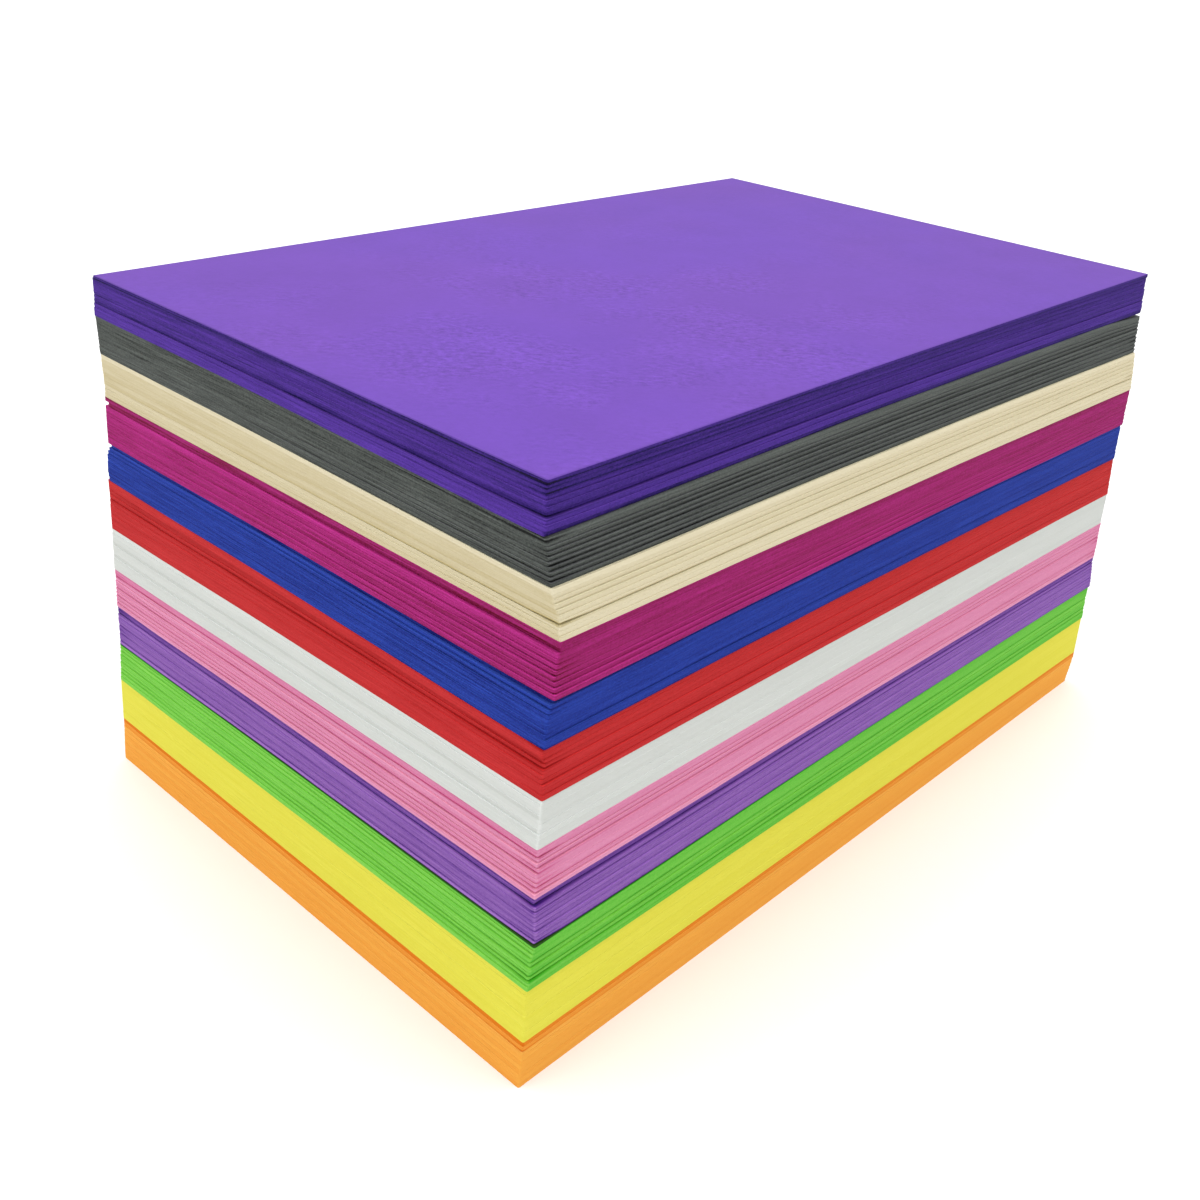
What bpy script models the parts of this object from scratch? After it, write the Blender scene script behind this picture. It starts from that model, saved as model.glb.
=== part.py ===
"""A neat stack of loose craft foam sheets, ten of each colour, lying flat.

Each colour is one solid: a slab for every sheet, joined by a core that stays inside them, so the
parting lines between the sheets are cut into all four faces. The top sheet is a solid of its own.
The sheets' long sides run along X. The stack's front left corner, at -X and -Y, is the one that
shows how unevenly the sheets were cut and laid. All sizes are in metres.
"""

import math
import random
from dataclasses import dataclass

import bmesh
import bpy
from mathutils import Matrix, Vector

MM = 0.001

# Sheet
SHEET_LENGTH = 431.8 * MM
SHEET_WIDTH = 279.4 * MM
SHEET_THICKNESS = 2.0 * MM
SHEETS_PER_COLOUR = 10

# Parting lines
SEAM = 0.3 * MM
SEAM_DEPTH = 6.0 * MM

# How unevenly the sheets are cut and laid
WORST_CUT = 4.8 * MM
STEP = 1.0 * MM
SIDE_PLAY = 0.12 * MM
TURN_PLAY = math.radians(0.03)
SEED = 12

# Foam
ROUGHNESS = 0.85


@dataclass(frozen=True)
class Colour:
    """Like sheets that lie together."""

    name: str
    rgb: tuple
    miscut: float  # how far its lowest sheet is cut short at both ends and wide at both sides, of the worst
    loft: tuple  # thickness at the front left, back left and front right corners, against the nominal one
    packs: tuple  # from the top: number of sheets, steps out at the left end, steps out at the front


@dataclass(frozen=True)
class Slab:
    """A flat box in the stack.

    A level is three heights: at the front left, back left and front right corners of the plan.
    """

    left: float
    right: float
    front: float
    back: float
    bottom: Vector
    top: Vector
    turn: float = 0.0

    def place(self, point):
        """Where a point of a cube of side one, centred on the origin, lies in this slab."""
        across = Vector((point.x * (self.right - self.left), point.y * (self.back - self.front), 0))
        across.rotate(Matrix.Rotation(self.turn, 3, "Z"))
        across += Vector((self.left + self.right, self.front + self.back, 0)) / 2
        level = self.bottom.lerp(self.top, point.z + 0.5)
        return Vector((across.x, across.y, height_at(level, across.x, across.y)))

    def corners(self):
        """The corners of the plan: front left, back left, front right, back right."""
        return [self.place(Vector((x, y, 0))) for x in (-0.5, 0.5) for y in (-0.5, 0.5)]


# From the top of the stack to the bottom
COLOURS = (
    Colour(
        "purple", (0.25, 0.13, 0.56), miscut=0.12, loft=(0.95, 0.925, 1.07),
        packs=((1, 0.7, 1.0), (2, 0.3, 0.2), (4, -0.3, -0.2), (3, 0.8, 0.8)),
    ),
    Colour(
        "grey", (0.09, 0.10, 0.09), miscut=0.46, loft=(0.905, 0.905, 1.065),
        packs=((1, 0.4, 0.2), (9, 0.0, 0.0)),
    ),
    Colour(
        "cream", (0.78, 0.67, 0.42), miscut=1.0, loft=(0.995, 1.04, 0.96),
        packs=((1, 0.3, 0.6), (3, 0.0, 0.1), (3, -0.2, 1.1), (3, 0.6, 0.3)),
    ),
    Colour(
        "magenta", (0.35, 0.02, 0.15), miscut=0.75, loft=(1.04, 1.085, 1.025),
        packs=((1, 0.8, 0.3), (1, -0.9, 0.1), (5, 0.3, 0.0), (1, 0.0, 0.3), (1, 0.0, 0.6), (1, 0.1, 0.9)),
    ),
    Colour(
        "blue", (0.02, 0.05, 0.33), miscut=0.44, loft=(0.97, 0.845, 1.02),
        packs=((1, -0.7, -0.6), (1, 0.1, 0.0), (6, 0.4, 0.0), (2, 0.2, 0.7)),
    ),
    Colour(
        "red", (0.61, 0.03, 0.03), miscut=0.50, loft=(0.995, 1.205, 1.05),
        packs=((2, 0.6, 0.1), (1, -0.6, 0.0), (2, 0.0, 0.2), (2, 0.2, 0.1), (3, 0.3, 0.4)),
    ),
    Colour(
        "white", (0.66, 0.72, 0.68), miscut=0.40, loft=(1.0, 1.02, 0.89),
        packs=((4, 0.3, 0.1), (3, -0.1, 0.0), (3, 0.2, 0.1)),
    ),
    Colour(
        "pink", (0.81, 0.22, 0.39), miscut=0.40, loft=(0.985, 0.97, 1.05),
        packs=((2, 0.5, 0.5), (1, -0.5, -0.1), (2, 0.0, 0.3), (3, 0.0, 0.1), (1, 0.2, 0.5), (1, 0.9, 0.5)),
    ),
    Colour(
        "violet", (0.24, 0.09, 0.43), miscut=0.46, loft=(0.99, 1.02, 0.885),
        packs=((2, -0.6, -0.5), (1, 0.2, 0.0), (2, 0.2, 0.3), (2, 0.1, 0.4), (2, 0.0, 0.6), (1, 0.8, 0.7)),
    ),
    Colour(
        "green", (0.11, 0.55, 0.05), miscut=0.18, loft=(0.99, 0.88, 1.04),
        packs=((1, -0.3, 0.0), (2, 0.0, 0.0), (2, 0.2, 0.0), (3, 0.4, 0.5), (2, 0.6, 1.0)),
    ),
    Colour(
        "yellow", (0.81, 0.75, 0.06), miscut=0.15, loft=(1.145, 1.075, 1.14),
        packs=((10, 0.1, 0.1),),
    ),
    Colour(
        "orange", (0.87, 0.35, 0.05), miscut=0.0, loft=(1.075, 1.07, 0.87),
        packs=((1, -0.8, -0.7), (9, 0.2, 0.2)),
    ),
)


def height_at(level, x, y):
    """The height of a level, which is a plane through its three corners, at a place in the plan."""
    front_left, back_left, front_right = level
    share_x = x / SHEET_LENGTH + 0.5
    share_y = y / SHEET_WIDTH + 0.5
    return front_left + share_x * (front_right - front_left) + share_y * (back_left - front_left)


def sheet_lofts():
    """The thickness of one sheet of each colour at three corners, evened out so that the top is level."""
    totals = [sum(colour.loft[corner] for colour in COLOURS) for corner in range(3)]
    evened = [totals[0] / total for total in totals]
    return [
        Vector([SHEET_THICKNESS * loft * share for loft, share in zip(colour.loft, evened)])
        for colour in COLOURS
    ]


def lay_sheets():
    """The sheets of each colour by name, each list from the top down."""
    chance = random.Random(SEED)
    lofts = sheet_lofts()
    bottom = sum(lofts, Vector((0, 0, 0))) * SHEETS_PER_COLOUR
    seam = Vector((SEAM, SEAM, SEAM))
    miscut_above = 0.0
    laid = {}
    for colour, loft in zip(COLOURS, lofts):
        steps = [(left, front) for count, left, front in colour.packs for _ in range(count)]
        sheets = []
        for number in range(SHEETS_PER_COLOUR):
            share = (number + 0.5) / SHEETS_PER_COLOUR
            miscut = WORST_CUT * (miscut_above + (colour.miscut - miscut_above) * share)
            out_left, out_front = steps[number % len(steps)]
            shift_x = chance.uniform(-SIDE_PLAY, SIDE_PLAY) - out_left * STEP
            shift_y = chance.uniform(-SIDE_PLAY, SIDE_PLAY) - out_front * STEP
            bottom = bottom - loft
            sheets.append(
                Slab(
                    left=shift_x + miscut - SHEET_LENGTH / 2,
                    right=shift_x - miscut + SHEET_LENGTH / 2,
                    front=shift_y - miscut - SHEET_WIDTH / 2,
                    back=shift_y + miscut + SHEET_WIDTH / 2,
                    bottom=bottom,
                    top=bottom + loft - seam,
                    turn=chance.uniform(-TURN_PLAY, TURN_PLAY),
                )
            )
        miscut_above = colour.miscut
        laid[colour.name] = sheets
    return laid


def core_of(sheets):
    """A slab that joins the sheets and stays a seam's depth inside every one of them."""
    return Slab(
        left=max(corner.x for sheet in sheets for corner in sheet.corners()[:2]) + SEAM_DEPTH,
        right=min(corner.x for sheet in sheets for corner in sheet.corners()[2:]) - SEAM_DEPTH,
        front=max(corner.y for sheet in sheets for corner in sheet.corners()[::2]) + SEAM_DEPTH,
        back=min(corner.y for sheet in sheets for corner in sheet.corners()[1::2]) - SEAM_DEPTH,
        bottom=(sheets[-1].bottom + sheets[-1].top) / 2,
        top=(sheets[0].bottom + sheets[0].top) / 2,
    )


def middle_of(laid):
    """The middle of the stack's plan."""
    corners = [corner for sheets in laid.values() for sheet in sheets for corner in sheet.corners()]
    middle_x = (min(c.x for c in corners) + max(c.x for c in corners)) / 2
    middle_y = (min(c.y for c in corners) + max(c.y for c in corners)) / 2
    return Vector((middle_x, middle_y, 0))


def clear_scene():
    for obj in list(bpy.data.objects):
        bpy.data.objects.remove(obj)


def new_collection(name):
    collection = bpy.data.collections.new(name)
    bpy.context.scene.collection.children.link(collection)
    return collection


def foam(colour):
    material = bpy.data.materials.new(colour.name + "_foam")
    material.use_nodes = True
    shader = material.node_tree.nodes["Principled BSDF"]
    shader.inputs["Base Color"].default_value = (*colour.rgb, 1)
    shader.inputs["Roughness"].default_value = ROUGHNESS
    shader.inputs["Metallic"].default_value = 0
    return material


def new_solid(name, slabs, material, collection, parent):
    """An object made of one box for each slab."""
    mesh = bpy.data.meshes.new(name)
    shape = bmesh.new()
    for slab in slabs:
        box = bmesh.ops.create_cube(shape, size=1)
        for vertex in box["verts"]:
            vertex.co = slab.place(vertex.co)
    shape.to_mesh(mesh)
    shape.free()
    mesh.materials.append(material)
    solid = bpy.data.objects.new(name, mesh)
    solid.parent = parent
    collection.objects.link(solid)
    return solid


def build_block(name, sheets, material, parts, helpers, parent):
    """Sheets of one colour as one solid, with the seams between them cut into its faces."""
    block = new_solid(name, [core_of(sheets)], material, parts, parent)
    slabs = new_solid(name + "_slabs", sheets, material, helpers, parent)
    slabs.hide_render = True
    slabs.display_type = "WIRE"
    join = block.modifiers.new("join_slabs", "BOOLEAN")
    join.operation = "UNION"
    join.solver = "EXACT"
    join.object = slabs


def main():
    clear_scene()
    parts = new_collection("craft_foam_sheet_stack")
    helpers = new_collection("joined_slabs")
    laid = lay_sheets()
    stack = bpy.data.objects.new("stack_base", None)
    stack.location = -middle_of(laid)
    parts.objects.link(stack)
    for colour in COLOURS:
        material = foam(colour)
        sheets = laid[colour.name]
        if colour is COLOURS[0]:
            new_solid(colour.name + "_top_sheet", sheets[:1], material, parts, stack)
            sheets = sheets[1:]
        build_block(colour.name + "_sheets", sheets, material, parts, helpers, stack)


main()
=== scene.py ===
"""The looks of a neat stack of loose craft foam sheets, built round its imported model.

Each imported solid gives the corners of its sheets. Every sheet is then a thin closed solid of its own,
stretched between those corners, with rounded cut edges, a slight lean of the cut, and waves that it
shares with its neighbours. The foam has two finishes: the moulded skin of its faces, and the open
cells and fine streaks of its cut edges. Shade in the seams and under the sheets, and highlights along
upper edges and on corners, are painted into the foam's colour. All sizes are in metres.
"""

import logging
import math
from collections.abc import Iterable
from dataclasses import dataclass, field

import bpy
import numpy as np
from mathutils import Euler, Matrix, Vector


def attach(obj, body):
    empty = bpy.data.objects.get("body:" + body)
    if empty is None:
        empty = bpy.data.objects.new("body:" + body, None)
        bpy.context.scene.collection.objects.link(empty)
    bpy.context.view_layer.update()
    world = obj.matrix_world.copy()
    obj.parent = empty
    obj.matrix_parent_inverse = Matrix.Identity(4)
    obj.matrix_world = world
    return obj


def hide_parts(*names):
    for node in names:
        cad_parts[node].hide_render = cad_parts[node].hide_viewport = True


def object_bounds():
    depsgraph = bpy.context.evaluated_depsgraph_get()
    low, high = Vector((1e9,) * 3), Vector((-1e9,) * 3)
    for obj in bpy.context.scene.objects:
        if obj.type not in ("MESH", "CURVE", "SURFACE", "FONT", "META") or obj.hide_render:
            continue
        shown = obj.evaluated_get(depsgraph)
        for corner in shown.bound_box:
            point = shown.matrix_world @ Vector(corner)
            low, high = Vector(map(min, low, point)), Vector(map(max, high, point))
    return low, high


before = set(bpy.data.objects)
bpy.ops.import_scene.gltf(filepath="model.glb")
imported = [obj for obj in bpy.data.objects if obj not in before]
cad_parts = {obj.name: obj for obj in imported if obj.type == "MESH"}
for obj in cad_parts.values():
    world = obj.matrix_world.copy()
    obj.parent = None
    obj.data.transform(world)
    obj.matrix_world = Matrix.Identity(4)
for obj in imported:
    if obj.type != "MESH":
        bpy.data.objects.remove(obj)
PACKED_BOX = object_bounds()

MM = 0.001
CORNERS = ("front_left", "front_right", "back_left", "back_right")
SIDES = ("left", "right", "front", "back")
SHEETS_PER_COLOUR = 10
TONE_AND_PAINTED_LIGHT = "tint"
RISE = "rise"
SEED = 21

log = logging.getLogger("foam_stack")


class Value:
    """A socket that does maths when it is used in an expression."""

    def __init__(self, graph: "Graph", socket: bpy.types.NodeSocket) -> None:
        """Wraps a socket.

        Args:
            graph: what adds the nodes.
            socket: an output of one of its nodes.
        """
        self.graph = graph
        self.socket = socket

    @property
    def is_vector(self) -> bool:
        """Whether it carries a vector or a colour."""
        return self.socket.type in ("VECTOR", "RGBA")

    def __add__(self, other: "Operand") -> "Value":
        """self + other."""
        return self.graph.maths("ADD", self, other)

    def __radd__(self, other: "Operand") -> "Value":
        """other + self."""
        return self.graph.maths("ADD", other, self)

    def __sub__(self, other: "Operand") -> "Value":
        """self - other."""
        return self.graph.maths("SUBTRACT", self, other)

    def __rsub__(self, other: "Operand") -> "Value":
        """other - self."""
        return self.graph.maths("SUBTRACT", other, self)

    def __mul__(self, other: "Operand") -> "Value":
        """self * other."""
        return self.graph.maths("MULTIPLY", self, other)

    def __truediv__(self, other: "Operand") -> "Value":
        """self / other."""
        return self.graph.maths("DIVIDE", self, other)

    def __pow__(self, other: "Operand") -> "Value":
        """self ** other."""
        return self.graph.maths("POWER", self, other)

    def __neg__(self) -> "Value":
        """-self."""
        return self.graph.maths("MULTIPLY", self, -1)

    def __abs__(self) -> "Value":
        """abs(self)."""
        return self.graph.maths("ABSOLUTE", self)

    def at_least(self, other: "Operand") -> "Value":
        """The larger of the two."""
        return self.graph.maths("MAXIMUM", self, other)

    def at_most(self, other: "Operand") -> "Value":
        """The smaller of the two."""
        return self.graph.maths("MINIMUM", self, other)

    def within(self) -> "Value":
        """The value kept from 0 to 1."""
        return self.at_least(0).at_most(1)

    def root(self) -> "Value":
        """The square root."""
        return self.graph.maths("SQRT", self)

    def sign(self) -> "Value":
        """-1, 0 or 1."""
        return self.graph.maths("SIGN", self)

    def length(self) -> "Value":
        """The length of a vector."""
        return self.graph.maths("LENGTH", self)

    def part(self, axis: int) -> "Value":
        """One number of a vector, by its place in it."""
        return self.graph.add("ShaderNodeSeparateXYZ", inputs={0: self}, output=axis)


Operand = Value | float | int | tuple


class Graph:
    """Adds nodes to one tree, for shaders and for geometry alike."""

    def __init__(self, tree: bpy.types.NodeTree) -> None:
        """Wraps a tree.

        Args:
            tree: a node tree, which may hold nodes already.
        """
        self.tree = tree

    @staticmethod
    def pick(sockets: bpy.types.bpy_prop_collection, key: str | int) -> bpy.types.NodeSocket:
        """Finds a socket among those that the node's settings leave on.

        Args:
            sockets: the node's inputs or outputs.
            key: the socket's name, or its place among them.

        Returns:
            The socket.
        """
        shown = [socket for socket in sockets if socket.enabled]
        if isinstance(key, int):
            return shown[key]
        return next(socket for socket in shown if socket.name == key)

    def feed(self, socket: bpy.types.NodeSocket, value: object) -> None:
        """Gives an input its value, or links it.

        Args:
            socket: the input.
            value: a Value, or what the socket's own value is set to.
        """
        if isinstance(value, Value):
            self.tree.links.new(value.socket, socket)
        elif socket.type == "VECTOR" and isinstance(value, (int, float)):
            socket.default_value = (value, value, value)
        elif socket.type == "RGBA" and len(value) == 3:
            socket.default_value = (*value, 1.0)
        else:
            socket.default_value = value

    def node(self, kind: str, settings: dict | None = None, inputs: dict | None = None) -> bpy.types.Node:
        """Adds a node.

        Args:
            kind: the node's type.
            settings: its properties, which are set first.
            inputs: values or links of its sockets, by name or place.

        Returns:
            The node.
        """
        node = self.tree.nodes.new(kind)
        for name, value in (settings or {}).items():
            setattr(node, name, value)
        for key, value in (inputs or {}).items():
            self.feed(self.pick(node.inputs, key), value)
        return node

    def add(
        self,
        kind: str,
        settings: dict | None = None,
        inputs: dict | None = None,
        output: str | int = 0,
    ) -> Value:
        """Adds a node and gives one of its outputs.

        Args:
            kind: the node's type.
            settings: its properties, which are set first.
            inputs: values or links of its sockets, by name or place.
            output: the output's name or place.

        Returns:
            The output.
        """
        node = self.node(kind, settings, inputs)
        return Value(self, self.pick(node.outputs, output))

    def maths(self, operation: str, *operands: Operand) -> Value:
        """Adds the Math node of an expression, or its vector form where a vector is in it.

        Args:
            operation: the node's operation.
            *operands: what it works on.

        Returns:
            The result.
        """
        vector = any(isinstance(x, tuple) or (isinstance(x, Value) and x.is_vector) for x in operands)
        kind = "ShaderNodeVectorMath" if vector else "ShaderNodeMath"
        return self.add(kind, {"operation": operation}, dict(enumerate(operands)))

    def vector(self, x: Operand, y: Operand, z: Operand) -> Value:
        """A vector of three numbers."""
        return self.add("ShaderNodeCombineXYZ", inputs={0: x, 1: y, 2: z})

    def noise(self, place: Value, detail: float = 2.0, roughness: float = 0.5) -> Value:
        """Smooth noise about 0.5, whose lumps are about one unit of its vector wide.

        Args:
            place: where it is read.
            detail: how many finer layers lie on it.
            roughness: how strong those are.

        Returns:
            The noise.
        """
        inputs = {"Vector": place, "Scale": 1.0, "Detail": detail, "Roughness": roughness}
        return self.add("ShaderNodeTexNoise", {"noise_dimensions": "3D"}, inputs)

    def ease(self, value: Value, low: float, high: float) -> Value:
        """Goes smoothly from 0 at low to 1 at high.

        Args:
            value: what it follows.
            low: where it starts.
            high: where it ends.

        Returns:
            The eased number.
        """
        settings = {"interpolation_type": "SMOOTHSTEP", "clamp": True}
        inputs = {"Value": value, "From Min": low, "From Max": high, "To Min": 0.0, "To Max": 1.0}
        return self.add("ShaderNodeMapRange", settings, inputs)

    def blend(self, factor: Operand, first: Operand, second: Operand) -> Value:
        """Mixes two colours.

        Args:
            factor: 0 for the first, 1 for the second.
            first: a colour.
            second: a colour.

        Returns:
            The mixed colour.
        """
        settings = {"data_type": "RGBA", "clamp_factor": True}
        return self.add("ShaderNodeMix", settings, {"Factor": factor, "A": first, "B": second}, "Result")


@dataclass(frozen=True)
class FoamFinish:
    """Closed-cell foam of one colour: its cut edge and its moulded skin.

    Each fineness is how many lumps of a noise lie in a metre along X, Y and Z.
    """

    name: str
    cut: tuple[float, float, float]
    skin: tuple[float, float, float]
    streak: float = 0.50
    grain: float = 0.42
    cloud: float = 0.20
    sheet_shade: float = 0.05
    rougher_ends: float = 0.9
    cut_roughness: float = 0.86
    skin_roughness: float = 0.62
    specular: float = 0.12
    darkest_cut: float = 0.12
    darkest_skin: float = 0.15
    streak_fineness: tuple[float, float, float] = (32.0, 32.0, 1700.0)
    cell_fineness: tuple[float, float, float] = (900.0, 900.0, 1300.0)
    cloud_fineness: tuple[float, float, float] = (30.0, 30.0, 130.0)
    bump_strength: float = 0.55
    bump_depth: float = 0.12 * MM

    def material(self) -> bpy.types.Material:
        """Builds the foam's material.

        Returns:
            The material.
        """
        material = bpy.data.materials.new(self.name)
        material.use_nodes = True
        graph = Graph(material.node_tree)
        shader = material.node_tree.nodes["Principled BSDF"]
        place = graph.add("ShaderNodeTexCoord", output="Object")
        facing = graph.add("ShaderNodeNewGeometry", output="Normal")
        skin = graph.ease(abs(facing.part(2)), 0.35, 0.85)
        rough_cut = 1 + abs(facing.part(0)) * self.rougher_ends
        # Each sheet's own tone, with painted shade in its seams and painted highlights on its edges and
        # corners
        tint = graph.add("ShaderNodeAttribute", {"attribute_name": TONE_AND_PAINTED_LIGHT}, output="Fac")
        rise = graph.add("ShaderNodeAttribute", {"attribute_name": RISE}, output="Fac")
        fine_x, fine_y, fine_rise = self.streak_fineness
        along = graph.vector(place.part(0) * fine_x, place.part(1) * fine_y, rise * fine_rise)
        streaks = graph.noise(along, 4.0, 0.65)
        cells = graph.noise(place * self.cell_fineness, 2.0, 0.6)
        clouds = graph.noise(place * self.cloud_fineness, 3.0, 0.55)
        shade = (streaks - 0.5) * (2 * self.streak) * rough_cut + (cells - 0.5) * (2 * self.grain)
        shade = shade + (clouds - 0.5) * self.cloud
        tint = tint * self.sheet_shade
        depths = self.depths(self.cut)
        cut = (1 + (shade + tint) * depths).at_least(self.darkest_cut) * self.cut
        # The skin that shows in a gap is painted with the gap's shade
        painted_gap_shade = (1 + tint.at_most(0) * depths).at_least(self.darkest_skin)
        colour = graph.blend(skin, cut, self.skin_colour(graph, place, shade) * painted_gap_shade)
        graph.feed(shader.inputs["Base Color"], colour)
        roughness = self.cut_roughness + skin * (self.skin_roughness - self.cut_roughness)
        graph.feed(shader.inputs["Roughness"], roughness + (cells - 0.5) * 0.10)
        shader.inputs["Specular IOR Level"].default_value = self.specular
        height = streaks * 0.6 * (1 - skin) + cells * (0.5 - skin * 0.25)
        bump = graph.add(
            "ShaderNodeBump",
            inputs={"Strength": self.bump_strength, "Distance": self.bump_depth, "Height": height},
        )
        graph.feed(shader.inputs["Normal"], bump)
        return material

    @staticmethod
    def depths(
        colour: tuple[float, float, float], middle: float = 1.6, least: float = 0.2, most: float = 1.3
    ) -> tuple[float, ...]:
        """How fast each channel darkens, so that a shadow is a deeper colour, not a greyer one.

        Args:
            colour: the foam's colour.
            middle: the natural logarithm, without its sign, of a channel that darkens as fast as asked.
            least: the slowest.
            most: the fastest.

        Returns:
            A factor for each channel.
        """
        return tuple(min(max(-math.log(channel) / middle, least), most) for channel in colour)

    def skin_colour(self, graph: Graph, place: Value, shade: Value) -> Value:
        """The colour of the moulded skin.

        Args:
            graph: not used.
            place: not used.
            shade: the foam's fine changes of lightness, about 0.

        Returns:
            The colour.
        """
        return (1 + shade * 0.4) * self.skin


@dataclass(frozen=True)
class HandledFinish(FoamFinish):
    """The top sheet's foam, whose bare skin carries smudges, dust and light scuffs.

    Its tone drifts a little from cool to warm. It is most worn round one spot, where light is also painted
    on.
    """

    smudge: float = 0.14
    scuff: float = 0.80
    dusting: float = 0.09
    spot: tuple[float, float] = (-0.09, -0.04)
    worn_reach: tuple[float, float] = (0.06, 0.20)
    painted_light_reach: tuple[float, float] = (0.05, 0.34)
    painted_light_pool: float = 0.045
    cool: tuple[float, float, float] = (0.985, 0.997, 1.022)
    warm: tuple[float, float, float] = (1.015, 1.003, 0.978)

    def skin_colour(self, graph: Graph, place: Value, shade: Value) -> Value:
        """The colour of the bare skin.

        Args:
            graph: adds the nodes.
            place: where a point lies on the object.
            shade: the foam's fine changes of lightness, about 0.

        Returns:
            The colour.
        """
        broad = graph.noise(place * (6.0, 6.0, 0.0), 3.0, 0.55)
        patches = graph.noise(place * (34.0, 34.0, 0.0), 6.0, 0.72)
        turned = graph.vector(
            place.part(0) * 190.0 - place.part(1) * 200.0,
            place.part(0) * 340.0 + place.part(1) * 320.0,
            0.0,
        )
        scuffs = graph.noise(turned, 4.0, 0.8)
        worn = graph.ease(graph.noise(place * (12.0, 12.0, 0.0) + (4.0, 2.0, 0.0), 4.0, 0.6), 0.42, 0.58)
        away = graph.vector(place.part(0) - self.spot[0], place.part(1) - self.spot[1], 0.0).length()
        worn = worn * (1 - graph.ease(away, *self.worn_reach) * 0.85)
        dust = graph.ease(graph.noise(place * (900.0, 900.0, 0.0), 1.0, 0.5), 0.66, 0.76)
        light = 1 + (patches - 0.5) * (worn + 0.3) * (2 * self.smudge) + shade * 0.2
        light = light + (scuffs - 0.5) * (worn + 0.12) * (2 * self.scuff) + dust * worn * self.dusting
        # A painted pool of light round the same spot
        light = light + (1 - graph.ease(away, *self.painted_light_reach)) * self.painted_light_pool
        warmth = graph.blend(graph.ease(broad, 0.38, 0.62), self.cool, self.warm)
        return warmth * light * self.skin


FINISHES = {
    "purple": FoamFinish("purple_foam", (0.0498, 0.0181, 0.193), (0.1, 0.0409, 0.309)),
    "grey": FoamFinish(
        "grey_foam", (0.0646, 0.0719, 0.0656), (0.1, 0.103, 0.106),
        streak=0.60, grain=0.50,
    ),
    "cream": FoamFinish(
        "cream_foam", (0.546, 0.48, 0.316), (0.655, 0.6, 0.418),
        streak=0.24, grain=0.14, cloud=0.10, sheet_shade=0.03,
    ),
    "magenta": FoamFinish(
        "magenta_foam", (0.269, 0.0117, 0.113), (0.455, 0.0273, 0.218),
        streak=0.60, grain=0.40,
    ),
    "blue": FoamFinish(
        "blue_foam", (0.0121, 0.0321, 0.245), (0.0273, 0.0682, 0.364),
        streak=0.60, grain=0.44,
    ),
    "red": FoamFinish(
        "red_foam", (0.417, 0.0195, 0.0212), (0.582, 0.0273, 0.0273),
        streak=0.36, grain=0.26, cloud=0.14,
    ),
    "white": FoamFinish(
        "white_foam", (0.526, 0.544, 0.517), (0.673, 0.7, 0.682),
        streak=0.09, grain=0.10, cloud=0.20, sheet_shade=0.05,
    ),
    "pink": FoamFinish(
        "pink_foam", (0.585, 0.206, 0.345), (0.727, 0.291, 0.418),
        streak=0.30, grain=0.20, cloud=0.10, sheet_shade=0.045,
    ),
    "violet": FoamFinish(
        "violet_foam", (0.196, 0.0856, 0.331), (0.291, 0.127, 0.473),
        streak=0.40, grain=0.26, cloud=0.14,
    ),
    "green": FoamFinish(
        "green_foam", (0.145, 0.471, 0.0558), (0.182, 0.545, 0.0545),
        streak=0.26, grain=0.24, cloud=0.12, sheet_shade=0.045,
    ),
    "yellow": FoamFinish(
        "yellow_foam", (0.646, 0.605, 0.0615), (0.727, 0.691, 0.1),
        streak=0.18, grain=0.12, cloud=0.06, sheet_shade=0.02,
    ),
    "orange": FoamFinish(
        "orange_foam", (0.746, 0.323, 0.0479), (0.782, 0.364, 0.0636),
        streak=0.16, grain=0.12, cloud=0.06, sheet_shade=0.05,
    ),
}
TOP_FINISH = HandledFinish("purple_top_skin", (0.0479, 0.0176, 0.186), (0.132, 0.0508, 0.356))


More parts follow.
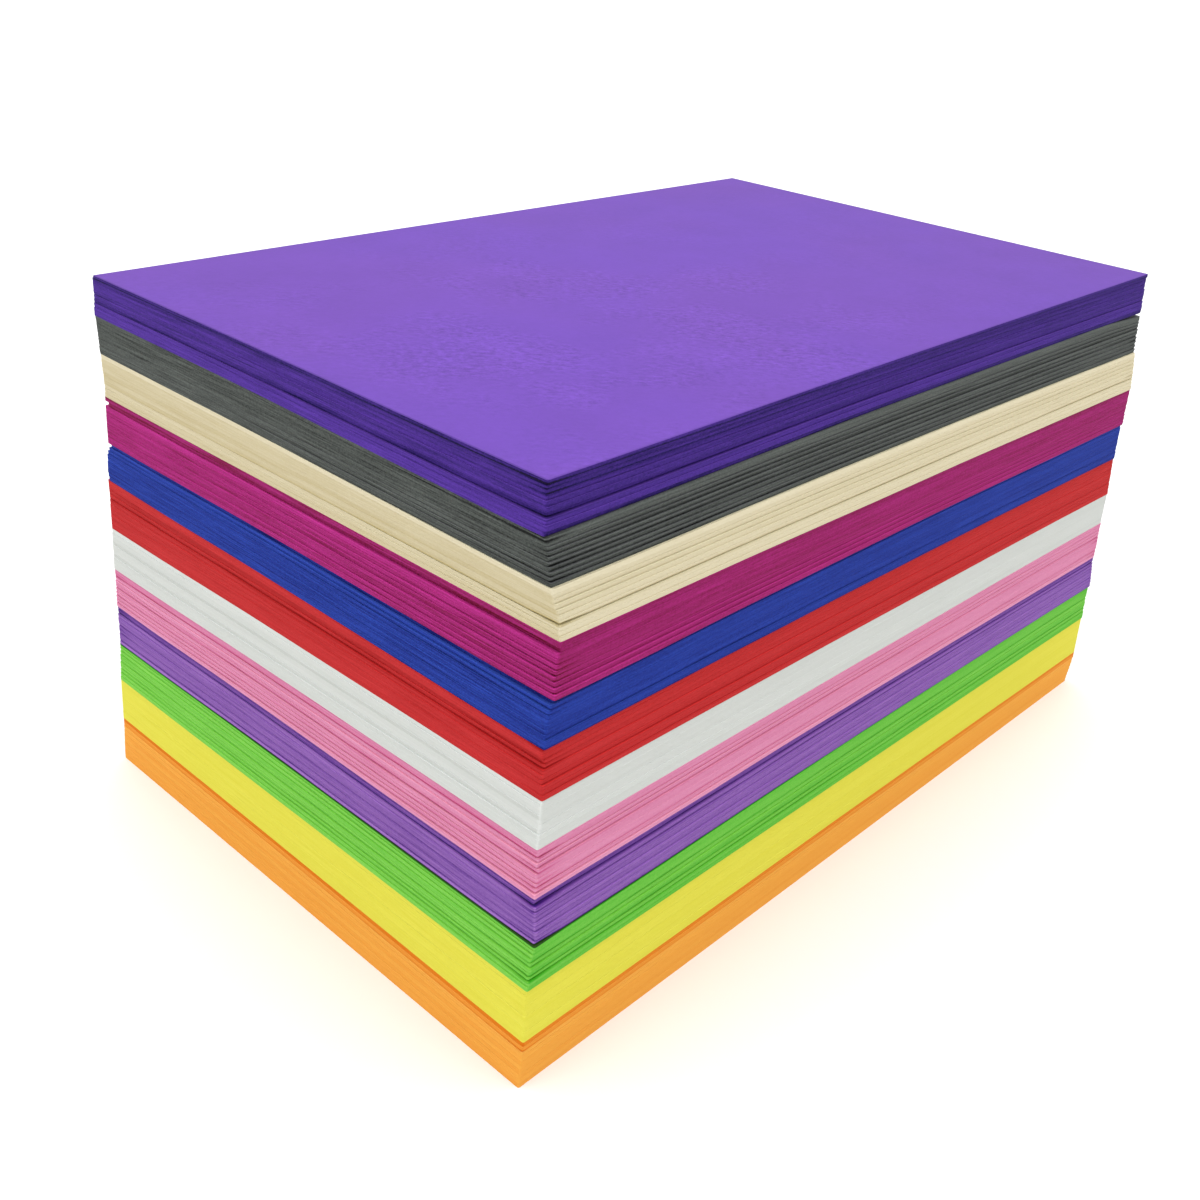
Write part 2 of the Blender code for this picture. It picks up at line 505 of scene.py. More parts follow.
@dataclass
class SheetTree:
    """The rule that shapes every sheet: a unit slab that is stretched between four corners.

    A seam's painted dark line is at its full strength where the sheet gapes by line_gape, and the painted
    shadow under a gape over the sheet by line_under. A lean of line_lean gives the full painted highlight
    along the upper edge. The rounded corners get a painted highlight too.
    """

    columns: int = 42
    rows: int = 30
    levels: int = 8
    rim_rows: int = 3
    rim_width: float = 2.4 * MM
    corner_radius: float = 0.9 * MM
    rim_depth: float = 0.4 * MM
    under_rounding: float = 0.35
    cut_wave: float = 0.22 * MM
    wave_height: float = 0.7 * MM
    crown: float = 0.8 * MM
    gape_reach: float = 12.0 * MM
    opening: float = 0.6
    fade_back: float = 0.3
    fade_right: float = 0.3
    line: float = 20.0
    line_gape: float = 0.7 * MM
    line_under: float = 0.9 * MM
    line_lean: float = 0.7 * MM
    painted_shadow_share: float = 0.7
    painted_highlight_share: float = 0.6
    rise_step: float = 2.1 * MM
    painted_corner_highlight: float = 4.0
    seed: float = 3.0
    group: bpy.types.NodeTree | None = field(default=None, repr=False)

    def sockets(self) -> dict[str, tuple[str, object]]:
        """The tree's named inputs.

        Returns:
            The type and value of each, by its name.
        """
        low, high = PACKED_BOX
        counts = {"Columns": self.columns, "Rows": self.rows, "Levels": self.levels}
        sizes = {
            "Rim Rows": float(self.rim_rows),
            "Rim Width": self.rim_width,
            "Corner Radius": self.corner_radius,
            "Rim Depth": self.rim_depth,
            "Under Rounding": self.under_rounding,
            "Cut Wave": self.cut_wave,
            "Wave Height": self.wave_height,
            "Crown": self.crown,
            "Gape Reach": self.gape_reach,
            "Opening": self.opening,
            "Fade Back": self.fade_back,
            "Fade Right": self.fade_right,
            "Line": self.line,
            "Corner Light": self.painted_corner_highlight,
            "Stack Height": high.z - low.z,
            "Seed": self.seed,
        }
        return {
            **{name: ("NodeSocketInt", value) for name, value in counts.items()},
            **{name: ("NodeSocketFloat", value) for name, value in sizes.items()},
            "Foam": ("NodeSocketMaterial", None),
        }

    def build(self) -> None:
        """Builds the tree."""
        self.group = bpy.data.node_groups.new("stretched_sheets", "GeometryNodeTree")
        face = self.group.interface
        face.new_socket("Geometry", in_out="INPUT", socket_type="NodeSocketGeometry")
        face.new_socket("Geometry", in_out="OUTPUT", socket_type="NodeSocketGeometry")
        for name, (kind, value) in self.sockets().items():
            socket = face.new_socket(name, in_out="INPUT", socket_type=kind)
            if value is not None:
                socket.default_value = value
        graph = Graph(self.group)
        given = graph.node("NodeGroupInput")
        ask = {socket.name: Value(graph, socket) for socket in given.outputs if socket.name}
        slab = graph.add(
            "GeometryNodeMeshCube",
            inputs={
                "Size": (2.0, 2.0, 2.0),
                "Vertices X": ask["Columns"] + 1,
                "Vertices Y": ask["Rows"] + 1,
                "Vertices Z": ask["Levels"] + 1,
            },
        )
        slab = graph.add(
            "GeometryNodeStoreNamedAttribute",
            {"data_type": "FLOAT_VECTOR", "domain": "POINT"},
            {"Geometry": slab, "Name": "form", "Value": graph.add("GeometryNodeInputPosition")},
        )
        sheets = graph.add(
            "GeometryNodeInstanceOnPoints", inputs={"Points": ask["Geometry"], "Instance": slab}
        )
        sheets = graph.add("GeometryNodeRealizeInstances", inputs={"Geometry": sheets})
        place, tint, rise = self.shape(graph, ask)
        for name, value in ((TONE_AND_PAINTED_LIGHT, tint), (RISE, rise)):
            sheets = graph.add(
                "GeometryNodeStoreNamedAttribute",
                {"data_type": "FLOAT", "domain": "POINT"},
                {"Geometry": sheets, "Name": name, "Value": value},
            )
        sheets = graph.add("GeometryNodeSetPosition", inputs={"Geometry": sheets, "Position": place})
        sheets = graph.add("GeometryNodeSetShadeSmooth", inputs={"Geometry": sheets})
        sheets = graph.add("GeometryNodeSetMaterial", inputs={"Geometry": sheets, "Material": ask["Foam"]})
        graph.node("NodeGroupOutput", inputs={"Geometry": sheets})

    @staticmethod
    def read(graph: Graph, name: str, kind: str = "FLOAT") -> Value:
        """Reads what a sheet carries.

        Args:
            graph: adds the nodes.
            name: the attribute.
            kind: its type.

        Returns:
            Its value.
        """
        return graph.add("GeometryNodeInputNamedAttribute", {"data_type": kind}, {"Name": name}, "Attribute")

    @staticmethod
    def from_edge(across: Value, lines: Value, size: Value, ask: dict[str, Value]) -> Value:
        """How far in from the nearer edge a grid line runs: close together at the rim, then even.

        Args:
            across: from -1 at one edge to 1 at the other.
            lines: how many spaces there are between the two.
            size: the sheet's size that way.
            ask: the tree's inputs.

        Returns:
            The distance.
        """
        line = (1 - abs(across)) * lines * 0.5
        rim_rows, rim = ask["Rim Rows"], ask["Rim Width"]
        close = (line / rim_rows).within() ** 1.5 * rim
        space = (size * 0.5 - rim) / (lines * 0.5 - rim_rows)
        return close + (line - rim_rows).at_least(0) * space

    def shape(self, graph: Graph, ask: dict[str, Value]) -> tuple[Value, Value, Value]:
        """Where each point of each sheet goes, how light it is painted there, and its rise.

        The rise is the height in a stack of flat, even sheets, which the streaks of the foam follow.

        Args:
            graph: adds the nodes.
            ask: the tree's inputs.

        Returns:
            The place, the tone with its painted shade and light, and the rise.
        """
        form = self.read(graph, "form", "FLOAT_VECTOR")
        front_left, front_right, back_left, back_right = (
            self.read(graph, name, "FLOAT_VECTOR") for name in CORNERS
        )
        sheet = self.read(graph, "sheet")
        length = (front_right - front_left).length()
        width = (back_left - front_left).length()
        end = self.from_edge(form.part(0), ask["Columns"], length, ask)
        side = self.from_edge(form.part(1), ask["Rows"], width, ask)

        # Round corners: reach is 0 a corner's radius inside the edge, and the radius on it
        radius = ask["Corner Radius"]
        end_reach = (radius - end).at_least(0)
        side_reach = (radius - side).at_least(0)
        reach = end_reach.at_least(side_reach)
        far = (end_reach * end_reach + side_reach * side_reach).root().at_least(1e-9)
        out_end = end_reach / far
        out_side = side_reach / far
        on_edge = 1 - ((radius - reach) / ask["Rim Depth"]).within()
        to_left = (-form.part(0).sign()).at_least(0)
        to_front = (-form.part(1).sign()).at_least(0)
        faces = (out_end * to_left, out_end * (1 - to_left), out_side * to_front, out_side * (1 - to_front))

        # The cut edge: rounded above and below, leaning, and waving a little along its length
        planes = self.read(graph, "thickness", "FLOAT_VECTOR")
        thick = planes.part(0) + (planes.part(1) * form.part(0) + planes.part(2) * form.part(1)) * 0.5
        level = form.part(2)
        from_face = (1 - abs(level)) * (1 - abs(level)) * 0.5
        share = 0.5 + level.sign() * (0.5 - from_face)
        upper = level.sign().at_least(0)
        curve = self.read(graph, "rounding") * (upper + (1 - upper) * ask["Under Rounding"])
        lack = (curve - from_face * thick).at_least(0)
        rounding = curve - (curve * curve - lack * lack).at_least(0).root()
        along = graph.vector(form.part(0) * 4.0, form.part(1) * 2.8, sheet * 3.1 + ask["Seed"])
        swell = graph.ease(graph.noise(along, 2.0, 0.5), 0.25, 0.60)
        fading = 1 - (form.part(0) + 1) * 0.5 * ask["Fade Right"]
        fading = (fading - (form.part(1) + 1) * 0.5 * ask["Fade Back"]).at_least(0)
        lean = self.sum(self.read(graph, "lean_" + name) * face for name, face in zip(SIDES, faces))
        lean = lean * (0.35 + swell * 0.65) * fading
        leaning = lean.at_least(0) * share + (-lean).at_least(0) * (1 - share)
        flat = graph.vector(form.part(0) * 2.6, form.part(1) * 1.7, sheet * 5.3 + ask["Seed"])
        wave = graph.noise(flat, 2.0, 0.5) * ask["Cut Wave"]
        inset = (rounding + leaning) * on_edge + wave
        end_in = end + end_reach - out_end * reach + out_end * inset
        side_in = side + side_reach - out_side * reach + out_side * inset
        x = 0.5 + form.part(0).sign() * (0.5 - end_in / length)
        y = 0.5 + form.part(1).sign() * (0.5 - side_in / width)
        front = front_left + (front_right - front_left) * x
        back = back_left + (back_right - back_left) * x
        foot = front + (back - front) * y

        # Levels: the sheet's own thickness, seams that gape at the rim, and waves shared by the stack
        end_rim = 1 - ((end - ask["Rim Width"]) / ask["Gape Reach"]).within()
        side_rim = 1 - ((side - ask["Rim Width"]) / ask["Gape Reach"]).within()
        rims = (end_rim * to_left, end_rim * (1 - to_left), side_rim * to_front, side_rim * (1 - to_front))
        gape = self.sum(self.read(graph, "gape_" + name) * rim for name, rim in zip(SIDES, rims))
        gape = gape * (0.6 + swell * 0.4) * fading**3
        sink = self.read(graph, "sink", "FLOAT_VECTOR")
        sunk = (sink.part(0) * share + sink.part(1) * (1 - share)) * graph.ease(x, 0.90, 1.0)
        dip = self.read(graph, "dip", "FLOAT_VECTOR")
        near = (1 - graph.ease(x, 0.0, 0.5)) * (1 - graph.ease(y, 0.0, 0.7))
        dipped = (dip.part(0) * share + dip.part(1) * (1 - share)) * near
        height = foot.part(2) + thick * share + gape * (1 - share) * ask["Opening"] - sunk - dipped
        up = (height / ask["Stack Height"]).within()
        loose = up * (1 - up) * 4
        slow = graph.vector(foot.part(0) * 7.0, foot.part(1) * 7.0, height * 11.0 + ask["Seed"])
        sway = (graph.noise(slow, 1.0, 0.4) - 0.5) * 2 * ask["Wave Height"]
        bow = x * (1 - x) * 4 * ask["Crown"]
        level = (height + (sway + bow) * loose).at_most(ask["Stack Height"])

        # Painted shade and light: dark where a seam gapes under or over the sheet, a highlight along an
        # upper edge that stands out
        under = self.sum(self.read(graph, "under_" + name) * rim for name, rim in zip(SIDES, rims))
        under = under * fading**3
        dark = (gape / self.line_gape).within() * (1 - graph.ease(share, 0.08, 0.45))
        shadow = (under / self.line_under).at_least(0) * graph.ease(share, 0.58, 0.90)
        pale = (-lean / self.line_lean).within() * graph.ease(share, 0.76, 0.98)
        lines = pale * self.painted_highlight_share - (dark + shadow * self.painted_shadow_share)
        # Each side's listed shade: the sheet's own tone, with painted shade and light
        tint = self.sum(self.read(graph, "shade_" + name) * face for name, face in zip(SIDES, faces))
        # Add the painted seam lines, and a painted highlight on the rounded corners
        tint = tint + lines * ask["Line"] + out_end * out_side * 2 * ask["Corner Light"]
        rise = sheet * self.rise_step + thick * share
        return graph.vector(foot.part(0), foot.part(1), level), tint, rise

    @staticmethod
    def sum(values: Iterable[Value]) -> Value:
        """Adds up a few values."""
        total, *rest = values
        for value in rest:
            total = total + value
        return total

    def set_inputs(self, modifier: bpy.types.NodesModifier, changes: dict[str, object]) -> None:
        """Sets a modifier's inputs by their identifiers.

        Args:
            modifier: the modifier that runs this tree.
            changes: what differs from the tree's own values, by name.
        """
        for item in self.group.interface.items_tree:
            if item.item_type == "SOCKET" and item.in_out == "INPUT" and item.name in changes:
                modifier[item.identifier] = changes[item.name]


@dataclass(frozen=True)
class CutEdges:
    """How the cut edges of a block's sheets lie on one side, from the top sheet down.

    A sheet is set back from where its slab ends. Its edge leans: above 0 it faces up a little, below 0
    down, and then a highlight is painted along its upper edge. The seam under it gapes, and is painted
    dark. These are in tenths of a millimetre. The shade is how light its edge is painted against the
    others: partly the sheet's own tone, partly painted shade on recessed sheets and on sides that get
    less light, and painted light on sheets that stand out.
    """

    set_back: tuple[float, ...] = ()
    lean: tuple[float, ...] = ()
    gape: tuple[float, ...] = ()
    shade: tuple[float, ...] = ()

    @staticmethod
    def listed(values: tuple[float, ...], count: int, unit: float = 0.1 * MM) -> np.ndarray:
        """One number for each sheet, 0 where none is listed."""
        return np.array([*values, *[0.0] * count][:count], float) * unit


@dataclass
class FoamBlock:
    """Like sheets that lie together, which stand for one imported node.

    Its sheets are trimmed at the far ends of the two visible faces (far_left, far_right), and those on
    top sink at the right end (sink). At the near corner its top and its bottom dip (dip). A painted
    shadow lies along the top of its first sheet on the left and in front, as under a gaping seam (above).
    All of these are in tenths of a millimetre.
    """

    node: str
    slot: str
    first: int
    finish: FoamFinish
    left: CutEdges = CutEdges()
    front: CutEdges = CutEdges()
    fades: tuple[float, float] = (0.3, 0.3)
    far_left: tuple[float, ...] = ()
    far_right: tuple[float, ...] = ()
    sink: tuple[float, ...] = ()
    dip: tuple[float, float] = (0.0, 0.0)
    above: tuple[float, float] = (0.0, 0.0)
    painted_corner_highlight: float = 1
    tidy: float = 0.85
    rounding: float = 0.11 * MM
    play: float = 1.0
    shade_play: float = 1.5
    corner_margin: float = 6.0 * MM
    top_of_stack: bool = False
    seam: float = 0.3 * MM
    closed_seam: float = 0.02 * MM

    @property
    def piece_name(self) -> str:
        """The name of the finished piece."""
        return "loose_" + self.node

    def corners(self) -> np.ndarray:
        """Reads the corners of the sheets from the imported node.

        Returns:
            Places by sheet from the top down, by corner, and by bottom and top.
        """
        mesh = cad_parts[self.node].data
        points = np.empty(len(mesh.vertices) * 3)
        mesh.vertices.foreach_get("co", points)
        points = np.unique(points.reshape(-1, 3).round(6), axis=0)
        found = []
        for ends, sides in ((-1, -1), (1, -1), (-1, 1), (1, 1)):
            reach = points[:, 0] * ends + points[:, 1] * sides
            outer = points[reach > reach.max() - self.corner_margin]
            outer = outer[np.argsort(-outer[:, 2])]
            found.append(outer.reshape(-1, 2, 3)[:, ::-1])
        return np.stack(found, axis=1)

    def edges(self, count: int, rng: np.random.Generator) -> dict[str, dict[str, np.ndarray]]:
        """Works out how every sheet's edge lies on each side: as listed, with a little play.

        Args:
            count: how many sheets there are.
            rng: gives the play.

        Returns:
            The set-back, lean, gape and shade of the sheets, and the gape over each, which only paints a
            shadow, by side.
        """
        found = {}
        for side in SIDES:
            listed = {"left": self.left, "front": self.front}.get(side)
            if listed is None:
                listed = self.left if side == "right" else self.front
                order = rng.permutation(count)
            else:
                order = np.arange(count)
            play = self.play * 0.1 * MM
            gape = CutEdges.listed(listed.gape, count)[order] + rng.uniform(0, 0.06, count) * play
            set_back = CutEdges.listed(listed.set_back, count)[order] + rng.uniform(0, 0.9, count) * play
            lean = CutEdges.listed(listed.lean, count)[order] + rng.uniform(-0.7, 0.7, count) * play
            shade = CutEdges.listed(listed.shade, count, 1.0)
            shade = shade + rng.uniform(-self.shade_play, self.shade_play, count)
            # The gape over a sheet only paints a shadow along its top; over the first sheet it is the
            # block's own value
            above = self.above[side in ("front", "back")] * 0.1 * MM
            under = np.append(above, gape[:-1])
            found[side] = {"set_back": set_back, "lean": lean, "gape": gape, "under": under, "shade": shade}
        return found

    def lay_corner(self, name: str, places: np.ndarray, edges: dict[str, dict[str, np.ndarray]]) -> None:
        """Sets the sheets back at one corner. All but the front left corner are laid more evenly.

        Args:
            name: the corner.
            places: its place on each sheet, which is changed.
            edges: how the sheets' edges lie.
        """
        side, end = name.split("_")
        count = len(places)
        tidy = 0.0 if name == "front_left" else self.tidy
        trimmed = {("back_left", 1): self.far_left, ("front_right", 0): self.far_right}
        for axis, edge, low in ((0, end, "left"), (1, side, "front")):
            own = trimmed.get((name, axis), ())
            inward = 1 if edge == low else -1
            numbers = np.arange(count)
            even = np.polyval(np.polyfit(numbers, places[:, axis], min(1, count - 1)), numbers)
            back = edges[edge]["set_back"] * (1 - tidy) + CutEdges.listed(own, count)
            places[:, axis] += (even - places[:, axis]) * tidy + inward * back

    def carriers(self) -> bpy.types.Object:
        """Makes one point for each sheet, which carries all that the tree has to know of it.

        Returns:
            An object with those points.
        """
        corners = self.corners()
        count = len(corners)
        rng = np.random.default_rng(SEED + self.first)
        thick = corners[:, :, 1, 2] - corners[:, :, 0, 2]
        if not self.top_of_stack:
            thick = thick + self.seam - self.closed_seam
        to_right = thick[:, 1] - thick[:, 0]
        to_back = thick[:, 2] - thick[:, 0]
        vectors = {name: corners[:, number, 0].copy() for number, name in enumerate(CORNERS)}
        edges = self.edges(count, rng)
        for name, places in vectors.items():
            self.lay_corner(name, places, edges)
        sink = CutEdges.listed(self.sink, count + 1)
        vectors["sink"] = np.stack([sink[:-1], sink[1:], np.zeros(count)], axis=1)
        dip = np.linspace(*self.dip, count + 1) * 0.1 * MM
        vectors["dip"] = np.stack([dip[:-1], dip[1:], np.zeros(count)], axis=1)
        vectors["thickness"] = np.stack([thick[:, 0] + (to_right + to_back) / 2, to_right, to_back], axis=1)
        numbers = {
            "sheet": np.arange(count) + self.first,
            "rounding": self.rounding * rng.uniform(0.4, 1.4, count),
        }
        for side, sizes in edges.items():
            for kind in ("lean", "gape", "under", "shade"):
                numbers[f"{kind}_{side}"] = sizes[kind]
        mesh = bpy.data.meshes.new(self.piece_name + "_places")
        mesh.vertices.add(count)
        for name, values in numbers.items():
            mesh.attributes.new(name, "FLOAT", "POINT").data.foreach_set("value", values.astype(float))
        for name, values in vectors.items():
            attribute = mesh.attributes.new(name, "FLOAT_VECTOR", "POINT")
            attribute.data.foreach_set("vector", values.astype(float).ravel())
        carriers = bpy.data.objects.new(self.piece_name + "_places", mesh)
        bpy.context.scene.collection.objects.link(carriers)
        return carriers

    def build(self, tree: SheetTree) -> bpy.types.Object:
        """Makes the piece.

        Args:
            tree: the rule that shapes the sheets.

        Returns:
            The piece.
        """
        carriers = self.carriers()
        carried = {a.name for a in carriers.data.attributes} - {"position"}
        modifier = carriers.modifiers.new("sheets", "NODES")
        modifier.node_group = tree.group
        tree.set_inputs(modifier, {"Foam": self.finish.material(), **self.own_sizes()})
        depsgraph = bpy.context.evaluated_depsgraph_get()
        mesh = bpy.data.meshes.new_from_object(carriers.evaluated_get(depsgraph), depsgraph=depsgraph)
        bpy.data.objects.remove(carriers)
        for name in [a.name for a in mesh.attributes if a.name in carried | {"form"}]:
            mesh.attributes.remove(mesh.attributes[name])
        mesh.name = self.piece_name
        piece = bpy.data.objects.new(self.piece_name, mesh)
        bpy.context.scene.collection.objects.link(piece)
        return self.declare(piece)

    def own_sizes(self) -> dict[str, object]:
        """What this block changes of the tree's inputs."""
        return {"Fade Back": self.fades[0], "Fade Right": self.fades[1], "Corner Light": self.painted_corner_highlight}

    def declare(self, piece: bpy.types.Object) -> bpy.types.Object:
        """Attaches the piece under the root, hides the imported node that it stands for, and logs its
        triangles.

        Args:
            piece: the finished piece.

        Returns:
            The piece.
        """
        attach(piece, "root")
        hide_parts(self.node)
        triangles = sum(len(p.vertices) - 2 for p in piece.data.polygons)
        log.info("%s: %d triangles", piece.name, triangles)
        return piece


@dataclass
class TopSheet(FoamBlock):
    """The sheet that lies on top, whose whole skin shows, so its grid is finer."""

    columns: int = 90
    rows: int = 60

    def own_sizes(self) -> dict[str, object]:
        """A finer grid than the other sheets have."""
        return {**super().own_sizes(), "Columns": self.columns, "Rows": self.rows}


def colour_blocks() -> dict[str, dict[str, object]]:
    """Lists the blocks of ten sheets, from the grey one down.

    Each side's rows are the set-back, lean, gape and shade of the sheets. A play under 1 makes the
    sheets of a block more alike.

    Returns:
        What each block has of its own, by colour.
    """
    return {
        "grey": {
            "left": CutEdges(
                (),
                (0, 0, -1, -2, -2, -7, -5, -8, -7, -5),
                (9, 0, 0, 1, 0, 2, 1, 2, 2, 0),
                (0, 0, -1, -1, -1, -1, 1, -1, 1, -1),
            ),
            "front": CutEdges(
                (),
                (2, -4, -8, -10, -8, -10, -9, -7, -10, -6),
                (1, 2, 3, 2, 2, 3, 2, 1, 3, 1),
                (4, 2, 1, -1, 2, -1, 0, 2, -1, 1),
            ),
            "fades": (0.7, 0.3),
            "sink": (18, 13, 8, 4, 2),
            "dip": (18, 14),
            "above": (4, 4),
            "painted_corner_highlight": 0,
        },
        "cream": {
            # The shade rows paint the left edges darker and the front edges lighter, for the light on each
            # side, and the top sheet lighter where it stands out
            "left": CutEdges(
                (0, 1, 2, 2, 2, 3, 3, 6, 6, 6),
                (-4, 0, 0, -2, -3, 0, 0, -5, -3),
                (0, 1, 0, 1, 2, 0, 8, 0, 2),
                (6, -2, -5, -5, -8, -5, -9, 0, -4, -5),
            ),
            "front": CutEdges(
                (0, 0, 0, 0, 5, 5, 5),
                (6, -2, -2, 0, 0, 0, -3),
                (0, 0, 2, 1, 0, 0, 8),
                (11, 6, 4, 4, 4, 4, 3, 9, 7, 6),
            ),
            "fades": (0.4, 0.1),
            "dip": (14, 0),
            "painted_corner_highlight": 3,
            "play": 0.5,
        },
        "magenta": {
            "left": CutEdges(
                (5,),
                (0, -2, -5, -6, -6, -7, -5, -7, -6, -3),
                (0, 1, 1, 2, 4, 3, 4, 3, 4, 3),
                # The second sheet is painted dark as in shade, and the third light where it stands out
                (-3, -6, 8, 1, 1, 1, 1, 1, 2, 4),
            ),
            "front": CutEdges(
                (),
                (0, 0, 0, 0, 0, -3, -4, -4, -4, -3),
                (0, 0, 0, 0, 1, 1, 1, 1, 1),
                (-3, -2, -1, -1, -1, 0, 0, 0, 1, 2),
            ),
            "fades": (0.95, 0.3),
            "far_left": (0, 26),
            "dip": (0, 9),
            "painted_corner_highlight": 3,
        },
        "blue": {
            "left": CutEdges(
                (3,),
                (-3, -5, -5, -1, -2, 0, -2),
                (1, 3, 3, 0, 0, 0, 1),
                # The first sheet is painted dark, as in the shade under the magenta block
                (-7, 3, 3, 0, 1, -1, 1, 0, 0, -1),
            ),
            "front": CutEdges(
                (3,),
                (-3, 0, -1, 0, -1, 0, 0, -3),
                (0, 1, 0, 0, 0, 1, 0, 3, 0, 4),
                (-3, 0, 0, 1, 0, 0, 0, -1, 1, 0),
            ),
            "fades": (0.4, 0.1),
            "far_left": (36, 17, 6, 0, 0, 0, 0, 0, 4, 9),
            "dip": (9, 2),
            "above": (4, 4),
        },
        "red": {
            "left": CutEdges(
                (0, 2, 0, 3),
                (0, -1, -3, -4, -2, 0, -1),
                (0, 3, 2, 5, 1, 1, 1),
                (2, 1, -4, -2, 1, 0, 0, 0, 1, 1),
            ),
            "front": CutEdges(
                (0, 0, 0, 2),
                (0, 0, 0, -2, 0, -2, -2, -2, -2),
                (0, 0, 2, 0, 0, 1, 2, 1, 2),
                (-3, 0, 0, 1),
            ),
            "fades": (0.1, 0.3),
            "dip": (2, 0),
            "above": (4, 4),
        },
        "white": {
            "left": CutEdges((), (-3, 0, 0, -4, 0, -1, -3), (), (4, 3, -1, -4, 1, 2, -4, 0, 1)),
            "front": CutEdges((), (), (), (1, -1)),
            "above": (2, 2),
            "painted_corner_highlight": 6,
            "play": 0.3,
        },
        "pink": {
            "left": CutEdges(
                (6, 7, 0, 1, 4, 0, 0, 0, 0, 4),
                (0, -2, -5, -4, -3, -4, -3, -4, -3, -3),
                (0, 8, 0, 2, 6, 2, 5, 3, 5, 0),
                (-2, -5, 4, 1, -1, 1, 0, 1, 1, 5),
            ),
            "front": CutEdges(
                (2, 4, 0, 3, 0, 0, 0, 2, 5),
                (-1, -3, -3, -4, 0, 0, 0, -2, -3, -4),
                (1, 3, 3, 3, 0, 0, 0, 4, 1),
                (0, -1, 1, -1, 0, 0, 0, -1, 2, 3),
            ),
            "fades": (0.1, 0.1),
            "dip": (0, 8),
            "above": (2, 2),
            "painted_corner_highlight": 4,
        },
        "violet": {
            "left": CutEdges(
                (0, 0, 0, 0, 0, 0, 0, 0, 3, 9),
                (-1, -2, -4, 0, -3, 0, -3, -1, -4, 0),
                (0, 5, 0, 1, 3, 1, 3, 1, 5, 14),
                # The top two sheets are painted dark as in shade, and the last one light where it stands out
                (-7, -6, 4, 1, 1, 1, 1, 1, -2, 13),
            ),
            "front": CutEdges(
                (0, 3, 0, 0, 0, 0, 0, 0, 0, 6),
                (-1, -5, -5, -3, -2, -2, -2, -2, -2),
                (1, 6, 6, 2, 1, 2, 1, 2, 1, 6),
                (-5, -4, 3, 3, 2, 2, 2, 2, 2, 2),
            ),
            "fades": (0.1, 0.25),
            "dip": (8, 12),
            "above": (3, 3),
            "painted_corner_highlight": 5,
        },
        "green": {
            # The shade rows paint the left edges lighter and the front edges darker, for the light on each
            # side
            "left": CutEdges(
                (),
                (-3, -4, -4, 0, -5, -2, -5, -5, -3),
                (1, 2, 2, 0, 4, 0, 3, 4, 0),
                (0, 3, 4, 2, 4, 4, 3, 3, 3, 3),
            ),
            "front": CutEdges(
                (0, 0, 0, 0, 2, 0, 2),
                (0, 0, 0, -4, -3, -2, -5, -4),
                (0, 0, 0, 5, 0, 2, 5, 4, 1),
                (-4, -3, -3, -3, 1, -2, -3, 0, -2, -3),
            ),
            "fades": (0.4, 0.2),
            "dip": (12, 0),
            # A strong painted shadow along the top of the first sheet, under the violet block
            "above": (85, 26),
            "painted_corner_highlight": 3,
        },
        "yellow": {"dip": (0, 8), "play": 0.2},
        "orange": {
            # The first sheet, set in under the yellow block, is painted darker as in its shade
            "left": CutEdges((-6,), (0, 0, -3), (0, 2), (-12, -6, 1)),
            "front": CutEdges((-6,), (0, 0, -3), (0, 2), (-11, -6, 1)),
            "far_right": (0, 0, 4, 9, 15, 21, 28, 35, 42, 48),
            "dip": (8, 0),
            "play": 0.2,
        },
    }


def make_blocks() -> list[FoamBlock]:
    """Lists all the blocks from the top down.

    Returns:
        The blocks.
    """
    blocks = [
        TopSheet(
            "purple_top_sheet", "purple_foam", 0, TOP_FINISH,
            left=CutEdges(gape=(4,), shade=(-5,)),
            front=CutEdges(gape=(5,), shade=(-4,)),
            far_left=(13,), far_right=(9,), dip=(9, 11), painted_corner_highlight=0.0, top_of_stack=True, play=0.3,
        ),
        FoamBlock(
            "purple_sheets", "purple_foam", 1, FINISHES["purple"],
            left=CutEdges(
                (1, 4, 4, 0, 0, 5, 3, 3, 3),
                (-2, -2, 1, -3, -2, -3, -4, 0, 0),
                (2, 2, 0, 1, 1, 3, 0, 0, 0),
                (-1, 1, 3, -1, 2, -3, 4, 4, 4),
            ),
            front=CutEdges(
                (1, 3, 5, 0, 0, 5, 3, 3, 12),
                (-2, -2, -2, 0, -1, -3, -3, 0, -2),
                (3, 4, 0, 0, 1, 3, 0, 0, 2),
                # The last sheet, set in, is painted dark as in shade
                (-3, -3, -2, -2, -2, -3, 0, -1, -7),
            ),
            dip=(11, 18), above=(5, 5), painted_corner_highlight=0.0,
        ),
    ]
    for number, (name, own) in enumerate(colour_blocks().items(), start=1):
        rounding = FoamBlock.rounding * own.get("play", 1.0)
        first = number * SHEETS_PER_COLOUR
        finish = FINISHES[name]
        blocks.append(
            FoamBlock(name + "_sheets", name + "_foam", first, finish, rounding=rounding, **own)
        )
    return blocks


@dataclass(frozen=True)
class Softbox:
    """A square lamp: where it stands, how it is turned, in degrees, its side and its power in watts."""

    name: str
    place: tuple[float, float, float]
    turn: tuple[float, float, float]
    size: float
    power: float

    def build(self) -> None:
        """Makes the lamp."""
        lamp = bpy.data.lights.new(self.name, "AREA")
        lamp.shape = "SQUARE"
        lamp.size = self.size
        lamp.energy = self.power
        holder = bpy.data.objects.new(self.name, lamp)
        holder.location = self.place
        holder.rotation_euler = Euler([math.radians(angle) for angle in self.turn])
        bpy.context.scene.collection.objects.link(holder)


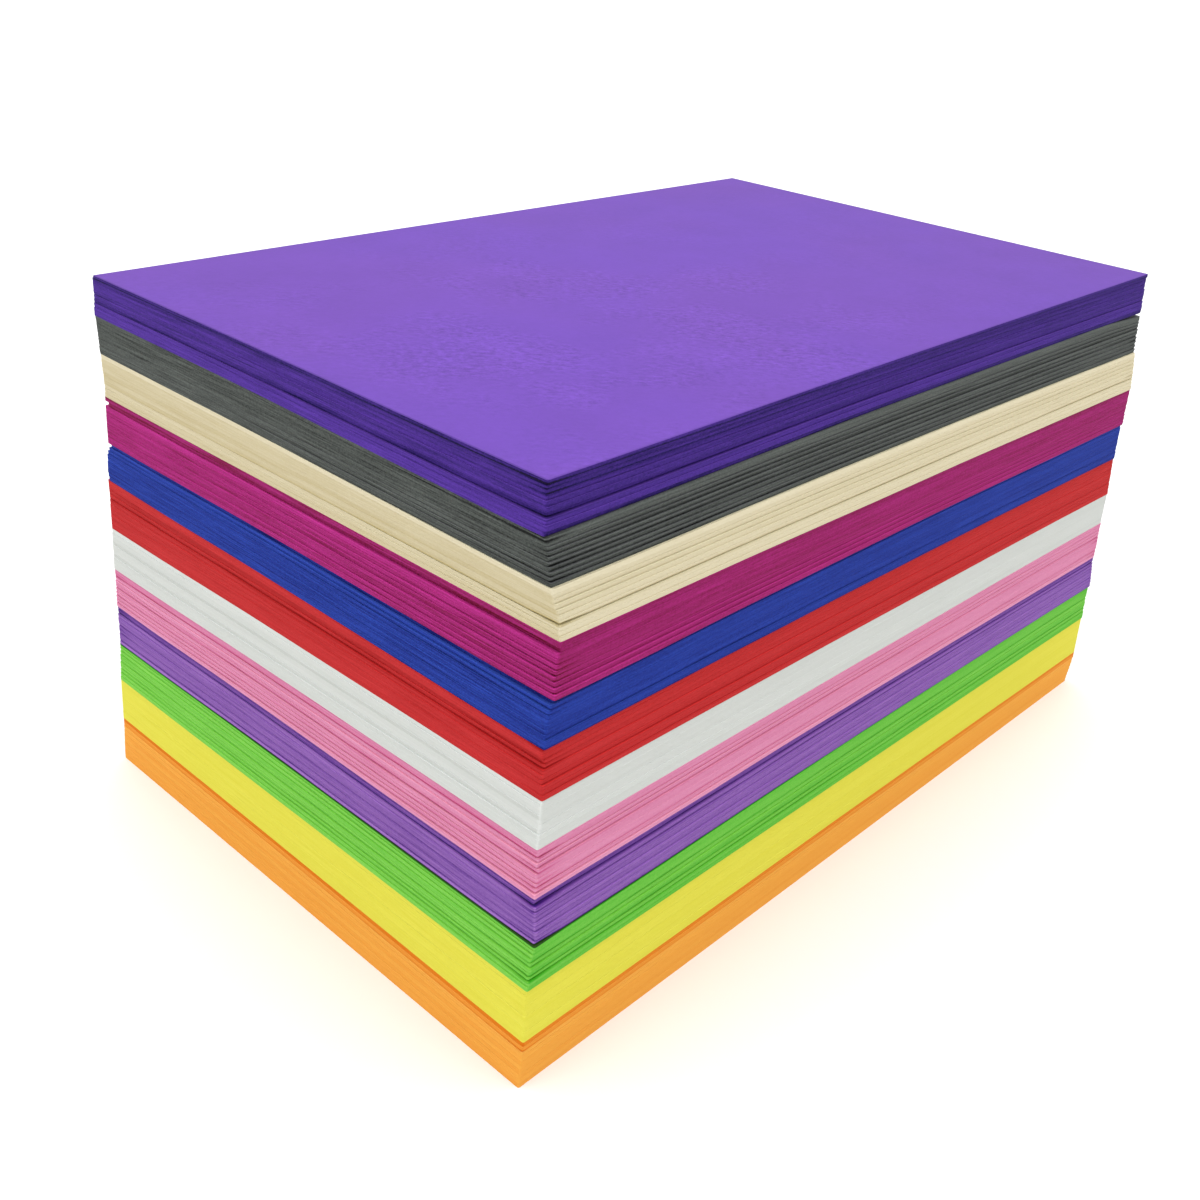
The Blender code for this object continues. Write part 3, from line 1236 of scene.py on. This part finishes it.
@dataclass
class Studio:
    """A plain pale floor in soft white light."""

    floor_size: float = 24.0
    floor_colour: tuple[float, float, float] = (0.93, 0.93, 0.93)
    floor_roughness: float = 0.8
    sky_low: float = 0.605
    sky_high: float = 1.98
    lamp: Softbox = Softbox("left_softbox", (-1.7, 0.5, 0.9), (0.0, -68.0, -16.0), 1.4, 1.98)

    def build(self) -> None:
        """Makes the floor, the lamp, and a sky that is brighter overhead."""
        self.floor()
        self.lamp.build()
        world = bpy.data.worlds.new("studio_sky")
        world.use_nodes = True
        sky = world.node_tree.nodes["Background"]
        sky.inputs["Color"].default_value = (1.0, 1.0, 1.0, 1.0)
        graph = Graph(world.node_tree)
        height = graph.add("ShaderNodeTexCoord", output="Generated").part(2).at_least(0)
        graph.feed(sky.inputs["Strength"], height * (self.sky_high - self.sky_low) + self.sky_low)
        bpy.context.scene.world = world
        bpy.context.scene.view_settings.view_transform = "Standard"

    def floor(self) -> None:
        """Makes the floor."""
        half = self.floor_size / 2
        mesh = bpy.data.meshes.new("studio_floor")
        corners = [(-half, -half, 0), (half, -half, 0), (half, half, 0), (-half, half, 0)]
        mesh.from_pydata(corners, [], [(0, 1, 2, 3)])
        floor = bpy.data.objects.new("studio_floor", mesh)
        material = bpy.data.materials.new("pale_floor")
        material.use_nodes = True
        shader = material.node_tree.nodes["Principled BSDF"]
        shader.inputs["Base Color"].default_value = (*self.floor_colour, 1.0)
        shader.inputs["Roughness"].default_value = self.floor_roughness
        mesh.materials.append(material)
        bpy.context.scene.collection.objects.link(floor)


@dataclass
class PhotoCamera:
    """The camera, at the place and angle, in degrees, that the photograph was taken from."""

    place: tuple[float, float, float] = (-0.4944, -0.4199, 0.4083)
    turn: tuple[float, float, float] = (69.675, -3.8644, -47.522)
    lens: float = 42.4095
    sensor_width: float = 36.0
    shift: tuple[float, float] = (-0.0378, -0.1542)
    clip_start: float = 0.02
    clip_end: float = 60.0

    def build(self) -> None:
        """Makes the camera and sets it as the scene's."""
        data = bpy.data.cameras.new("photo_camera")
        data.sensor_width = self.sensor_width
        data.lens = self.lens
        data.shift_x, data.shift_y = self.shift
        data.clip_start = self.clip_start
        data.clip_end = self.clip_end
        camera = bpy.data.objects.new("photo_camera", data)
        camera.location = self.place
        camera.rotation_euler = Euler([math.radians(angle) for angle in self.turn])
        bpy.context.scene.collection.objects.link(camera)
        bpy.context.scene.camera = camera


def main() -> None:
    """Builds the camera, the studio and every block of sheets."""
    logging.basicConfig(level=logging.INFO, format="%(message)s")
    PhotoCamera().build()
    Studio().build()
    tree = SheetTree()
    tree.build()
    for block in make_blocks():
        block.build(tree)


if __name__ == "__main__":
    main()
